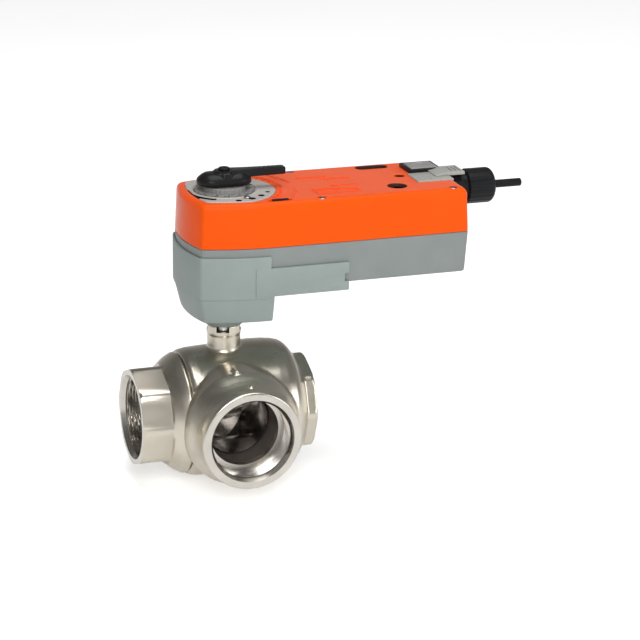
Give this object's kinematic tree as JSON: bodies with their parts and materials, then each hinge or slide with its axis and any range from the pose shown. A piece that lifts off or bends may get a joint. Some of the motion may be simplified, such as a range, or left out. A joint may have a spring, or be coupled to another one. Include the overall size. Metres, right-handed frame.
{
  "type": "motorised zone valve",
  "caption": "Three-way brass ball valve turned by a spring-return rotary actuator with manual lever, push button and cable entry.",
  "frame": {"origin": "valve centre, where the stem axis crosses the axes of the ports", "axes": "+Z along the stem towards the handle, +X along the straight run towards the right port and the cable, -Y out of the branch port"},
  "size_m": [0.2946, 0.1188, 0.2264],
  "materials": {
    "nickel_brass": "nickel-plated forged brass, satin with machined faces",
    "bare_brass": "turned brass",
    "seal_rubber": "black nitrile rubber",
    "ball_chrome": "polished chrome plate",
    "seat_plastic": "white fluoropolymer",
    "stem_steel": "turned stainless steel",
    "zinc_steel": "zinc-plated steel",
    "motor_steel": "drawn steel can",
    "spring_steel": "blued spring steel",
    "bracket_plastic": "fine-grained grey moulded plastic",
    "base_plastic": "fine-grained grey moulded plastic",
    "cover_plastic": "fine-grained orange moulded plastic",
    "dial_plastic": "light grey moulded plastic",
    "ring_plastic": "grey moulded plastic",
    "lid_plastic": "grey moulded plastic",
    "button_plastic": "grey moulded plastic",
    "black_plastic": "black moulded plastic",
    "gland_plastic": "black polyamide",
    "cable_sheath": "black cable sheath",
    "gear_plastic": "natural acetal",
    "board_laminate": "solder-masked laminate",
    "component_plastic": "moulded component bodies",
    "terminal_plastic": "green moulded plastic"
  },
  "bodies": {
    "root": {"valve_body": "nickel_brass", "end_connector": "nickel_brass", "connector_seal": "seal_rubber", "seat_left": "seat_plastic", "seat_right": "seat_plastic", "seat_branch": "seat_plastic", "gland_ring": "bare_brass", "mounting_bracket": "bracket_plastic", "bracket_screws": "zinc_steel", "base_housing": "base_plastic", "base_bush": "bare_brass", "top_cover": "cover_plastic", "cover_screws": "zinc_steel", "dial_plate": "dial_plastic", "dial_screws": "zinc_steel", "gear_axles": "zinc_steel", "gear_plate": "zinc_steel", "drive_motor": "motor_steel", "spring_case": "zinc_steel", "return_spring": "spring_steel", "circuit_board": "board_laminate", "board_components": "component_plastic", "terminal_block": "terminal_plastic", "button_bezel": "black_plastic", "button_spring": "spring_steel", "terminal_cover": "lid_plastic", "cable_lid": "lid_plastic", "gland_body": "gland_plastic", "gland_nut": "gland_plastic", "gland_seal": "seal_rubber", "supply_cable": "cable_sheath"},
    "rotor": {"ball": "ball_chrome", "valve_stem": "stem_steel", "thrust_washer": "seat_plastic", "stem_o_rings": "seal_rubber", "drive_adapter": "stem_steel", "output_gear": "gear_plastic", "position_ring": "ring_plastic", "lever_handle": "black_plastic", "handle_screw": "black_plastic"},
    "gear_a": {"idler_gear_a": "gear_plastic"},
    "gear_b": {"idler_gear_b": "gear_plastic"},
    "motor_rotor": {"motor_pinion": "zinc_steel"},
    "override_gear": {"override_idler": "gear_plastic"},
    "crank": {"crank_spindle": "motor_steel"},
    "slider": {"stop_slider": "black_plastic"},
    "switch_knob": {"direction_switch": "black_plastic"},
    "button": {"push_button": "button_plastic"}
  },
  "joints": [
    {"name": "valve_turn", "type": "hinge", "parent": "root", "child": "rotor", "pos_m": [0, 0, 0.115], "axis": [0, 0, 1], "range_deg": [0, 90]},
    {"name": "gear_a_spin", "type": "hinge", "parent": "root", "child": "gear_a", "pos_m": [0.03238, 0.00283, 0.115], "axis": [0, 0, 1], "range_deg": [-300.5, 0]},
    {"name": "gear_b_spin", "type": "hinge", "parent": "root", "child": "gear_b", "pos_m": [0.0559, 0.00758, 0.115], "axis": [0, 0, 1], "range_deg": [0, 1200.5]},
    {"name": "motor_spin", "type": "hinge", "parent": "root", "child": "motor_rotor", "pos_m": [0.0749, -0.00835, 0.115], "axis": [0, 0, 1], "range_deg": [-5000.5, 0]},
    {"name": "override_gear_spin", "type": "hinge", "parent": "root", "child": "override_gear", "pos_m": [0.09562, -0.01017, 0.115], "axis": [0, 0, 1], "range_deg": [0, 1500.5]},
    {"name": "crank_spin", "type": "hinge", "parent": "root", "child": "crank", "pos_m": [0.121, -0.022, 0.115], "axis": [0, 0, 1], "range_deg": [-2000.5, 0]},
    {"name": "direction_turn", "type": "hinge", "parent": "root", "child": "switch_knob", "pos_m": [0.1324, 0.0035, 0.115], "axis": [0, 0, 1], "range_deg": [0, 90]},
    {"name": "stop_slide", "type": "slide", "parent": "root", "child": "slider", "axis": [1, 0, 0], "range_m": [-0.0025, 0.0025]},
    {"name": "button_press", "type": "slide", "parent": "root", "child": "button", "axis": [0, 0, 1], "range_m": [-0.0012, 0], "stiffness_N_per_m": 800, "springref_m": 0.0004}
  ],
  "couplings": [
    {"joint": "gear_a_spin", "follows": "valve_turn", "ratio": -3.3333},
    {"joint": "gear_b_spin", "follows": "valve_turn", "ratio": 13.333},
    {"joint": "motor_spin", "follows": "valve_turn", "ratio": -55.556},
    {"joint": "override_gear_spin", "follows": "valve_turn", "ratio": 16.667},
    {"joint": "crank_spin", "follows": "valve_turn", "ratio": -22.222}
  ]
}
